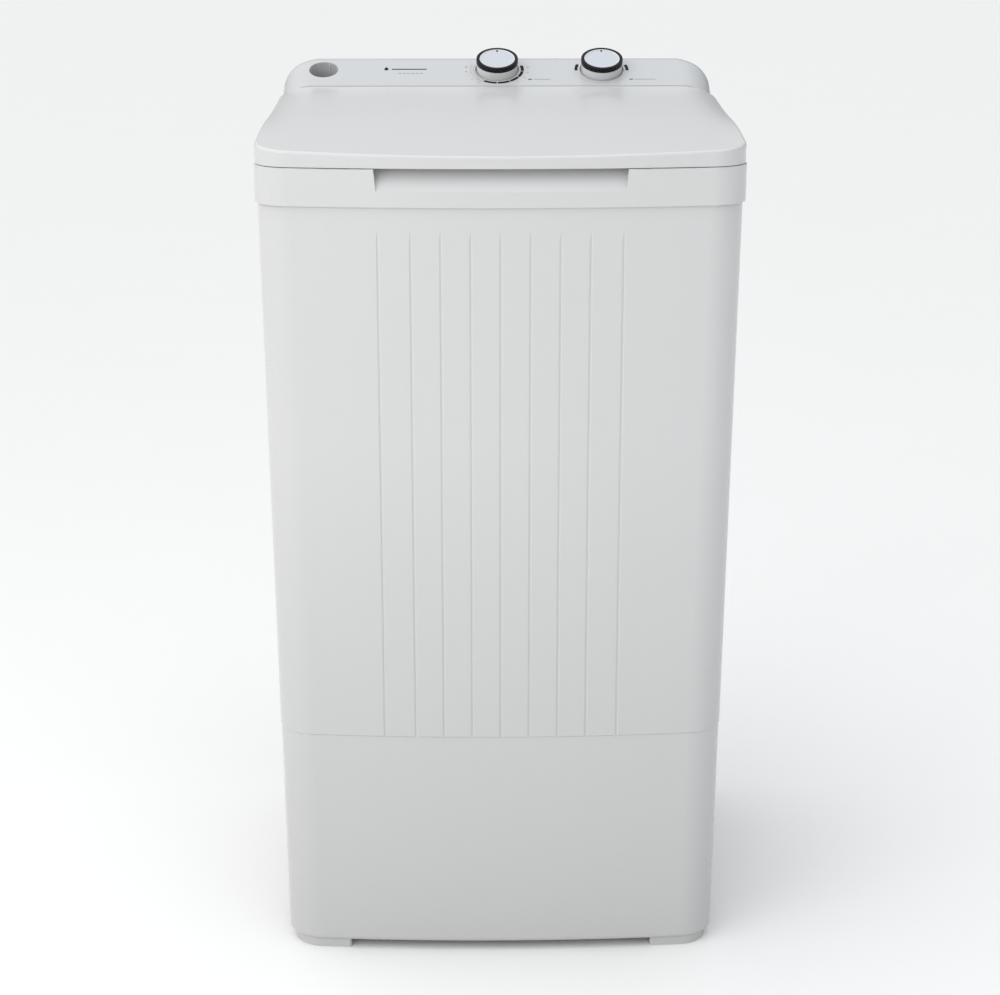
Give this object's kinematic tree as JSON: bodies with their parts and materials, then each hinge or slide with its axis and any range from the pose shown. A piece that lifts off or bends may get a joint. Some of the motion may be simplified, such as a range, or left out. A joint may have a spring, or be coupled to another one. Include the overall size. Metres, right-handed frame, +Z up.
{
  "type": "top load washing machine",
  "caption": "Tall single-tub washing machine with a full-width hinged lid, two dials on a raised rear console, a belt-driven pulsator and a drain valve.",
  "frame": {"origin": "on the floor, under the middle of the machine's bounding box", "axes": "+X to the right as seen from the front, +Y from the front to the back, +Z up"},
  "size_m": [0.52, 0.4999, 0.9822],
  "materials": {
    "white_shell": "smooth gloss white",
    "dial_white": "gloss white",
    "dial_black": "satin black",
    "tub_white": "smooth",
    "pulsator_grey": "smooth",
    "rubber_black": "matt",
    "screw_steel": "plated",
    "shaft_steel": "ground",
    "bush_bronze": "sintered",
    "cast_alloy": "die cast",
    "motor_paint": "satin paint",
    "stator_iron": "varnished laminations",
    "unit_plastic": "moulded",
    "valve_plastic": "moulded",
    "hose_grey": "smooth",
    "cord_white": "braided",
    "wire_black": "sleeved"
  },
  "bodies": {
    "machine": {"base": "white_shell", "bracket_screws": "screw_steel", "cabinet": "white_shell", "capacitor": "unit_plastic", "capacitor_clip": "unit_plastic", "console_screws": "screw_steel", "control_console": "white_shell", "cord_gland": "unit_plastic", "drain_cord": "cord_white", "drain_elbow": "hose_grey", "drain_hose": "hose_grey", "drain_spigot": "valve_plastic", "drive_belt": "rubber_black", "front_feet": "white_shell", "housing_bolts": "screw_steel", "inlet_chute": "tub_white", "motor_bolts": "screw_steel", "motor_bracket": "motor_paint", "motor_frame": "motor_paint", "motor_grommets": "rubber_black", "motor_stator": "stator_iron", "overflow_cover": "tub_white", "overflow_pipe": "hose_grey", "panel_screws": "screw_steel", "rear_feet": "white_shell", "selector_unit": "unit_plastic", "service_panel": "white_shell", "shaft_bushes": "bush_bronze", "shaft_housing": "cast_alloy", "shaft_seal": "rubber_black", "timer_unit": "unit_plastic", "top_frame": "white_shell", "valve_bellows": "rubber_black", "valve_body": "valve_plastic", "valve_cap": "valve_plastic", "wash_tub": "tub_white", "wiring_harness": "wire_black"},
    "lid": {"lid": "white_shell", "lid_hinge_pins": "shaft_steel", "lid_bumpers": "rubber_black"},
    "timer_dial": {"timer_dial": "dial_white", "timer_grip_ring": "dial_black", "timer_dial_cap": "dial_white", "timer_shaft": "unit_plastic"},
    "selector_dial": {"selector_dial": "dial_white", "selector_grip_ring": "dial_black", "selector_dial_cap": "dial_white", "selector_shaft": "unit_plastic", "selector_drum": "unit_plastic"},
    "drain_plunger": {"valve_plunger": "valve_plastic", "strap_pin": "screw_steel", "drain_strap": "valve_plastic"},
    "pulsator": {"pulsator": "pulsator_grey", "pulsator_screw": "screw_steel", "pulsator_cap": "pulsator_grey", "pulsator_shaft": "shaft_steel", "driven_pulley": "cast_alloy"},
    "motor_rotor": {"motor_rotor": "shaft_steel", "motor_pulley": "cast_alloy"}
  },
  "joints": [
    {"name": "lid_hinge", "type": "hinge", "parent": "machine", "child": "lid", "pos_m": [0, 0.139, 0.9335], "axis": [-1, 0, 0], "range_deg": [0, 95]},
    {"name": "timer_turn", "type": "hinge", "parent": "machine", "child": "timer_dial", "pos_m": [0, 0.18326, 0.95781], "axis": [0, 0.4226, -0.9063], "range_deg": [0, 300]},
    {"name": "selector_turn", "type": "hinge", "parent": "machine", "child": "selector_dial", "pos_m": [0.126, 0.18326, 0.95781], "axis": [0, 0.4226, -0.9063], "range_deg": [0, 90]},
    {"name": "drain_lift", "type": "slide", "parent": "machine", "child": "drain_plunger", "axis": [0, 0, 1], "range_m": [0, 0.012], "deforming": ["valve_bellows", "drain_cord"]},
    {"name": "pulsator_spin", "type": "hinge", "parent": "machine", "child": "pulsator", "pos_m": [0, -0.05, 0.3], "axis": [0, 0, 1], "continuous": true},
    {"name": "motor_spin", "type": "hinge", "parent": "machine", "child": "motor_rotor", "pos_m": [0.118, 0.046, 0.1], "axis": [0, 0, 1], "continuous": true}
  ],
  "couplings": [
    {"joint": "drain_lift", "follows": "selector_turn", "m_per_rad": 0.00763},
    {"joint": "motor_spin", "follows": "pulsator_spin", "ratio": 4.3889}
  ]
}
